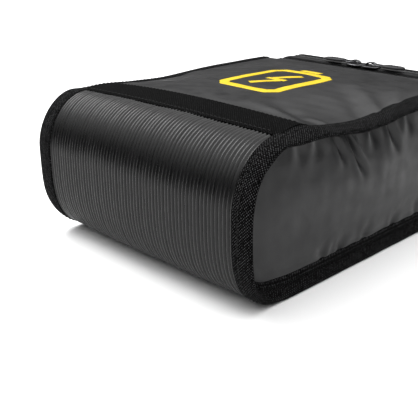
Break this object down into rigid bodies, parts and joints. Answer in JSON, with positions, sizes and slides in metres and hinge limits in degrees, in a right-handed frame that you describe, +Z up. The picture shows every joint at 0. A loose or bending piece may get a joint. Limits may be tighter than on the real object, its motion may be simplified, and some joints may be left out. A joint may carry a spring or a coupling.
{
  "type": "battery safety bag",
  "caption": "Padded fire-resistant carry bag for rechargeable battery packs, with a ribbed rounded base, bound side gussets and a zip-around lid, lying on its back.",
  "frame": {"origin": "centre of the bag's footprint, on the surface it lies on", "axes": "+Z up from the back panel to the front panel, +Y from the ribbed base to the lid, +X across the width"},
  "size_m": [0.185, 0.2452, 0.098],
  "materials": {
    "ribbed_rubber": "fine lengthwise ribs, satin",
    "coated_fabric": "smooth coated face, soft satin sheen",
    "woven_tape": "matt herringbone weave",
    "zip_tape": "matt plain weave",
    "zip_coil": "matt nylon coil",
    "felt_padding": "matt needled felt",
    "glass_cloth": "plain woven glass cloth, slight sheen",
    "dark_metal": "gunmetal, satin",
    "webbing": "matt ribbed webbing"
  },
  "bodies": {
    "bag": {"ribbed_base_panel": "ribbed_rubber", "front_panel": "coated_fabric", "back_panel": "coated_fabric", "left_gusset": "coated_fabric", "right_gusset": "coated_fabric", "mouth_collar": "coated_fabric", "front_seam_strip": "woven_tape", "back_seam_strip": "woven_tape", "left_binding": "woven_tape", "right_binding": "woven_tape", "lid_hinge_tape": "woven_tape", "body_zip_tape": "zip_tape", "body_zip_coil": "zip_coil", "base_padding": "felt_padding", "front_padding": "felt_padding", "back_padding": "felt_padding", "left_padding": "felt_padding", "right_padding": "felt_padding", "base_lining": "glass_cloth", "front_lining": "glass_cloth", "back_lining": "glass_cloth", "left_lining": "glass_cloth", "right_lining": "glass_cloth"},
    "lid": {"lid_zip_coil": "zip_coil", "lid_zip_tape": "zip_tape", "lid_rim": "coated_fabric", "lid_panel": "coated_fabric", "lid_padding": "felt_padding", "lid_lining": "glass_cloth", "carry_handle": "webbing", "left_handle_patch": "webbing", "right_handle_patch": "webbing"},
    "left_slider": {"left_zip_slider": "dark_metal"},
    "right_slider": {"right_zip_slider": "dark_metal"},
    "left_pull": {"left_zip_pull": "dark_metal"},
    "right_pull": {"right_zip_pull": "dark_metal"}
  },
  "joints": [
    {"name": "lid_hinge", "type": "hinge", "parent": "bag", "child": "lid", "pos_m": [0, 0.11735, 0.0065], "axis": [-1, 0, 0], "range_deg": [0, 90]},
    {"name": "left_slider_run", "type": "slide", "parent": "bag", "child": "left_slider", "axis": [-1, 0, 0], "range_m": [0, 0.052]},
    {"name": "right_slider_run", "type": "slide", "parent": "bag", "child": "right_slider", "axis": [1, 0, 0], "range_m": [0, 0.052]},
    {"name": "left_pull_hinge", "type": "hinge", "parent": "left_slider", "child": "left_pull", "pos_m": [-0.0071, 0.10135, 0.0955], "axis": [0, 1, 0], "range_deg": [0, 140]},
    {"name": "right_pull_hinge", "type": "hinge", "parent": "right_slider", "child": "right_pull", "pos_m": [0.0071, 0.10135, 0.0955], "axis": [0, -1, 0], "range_deg": [0, 140]}
  ]
}
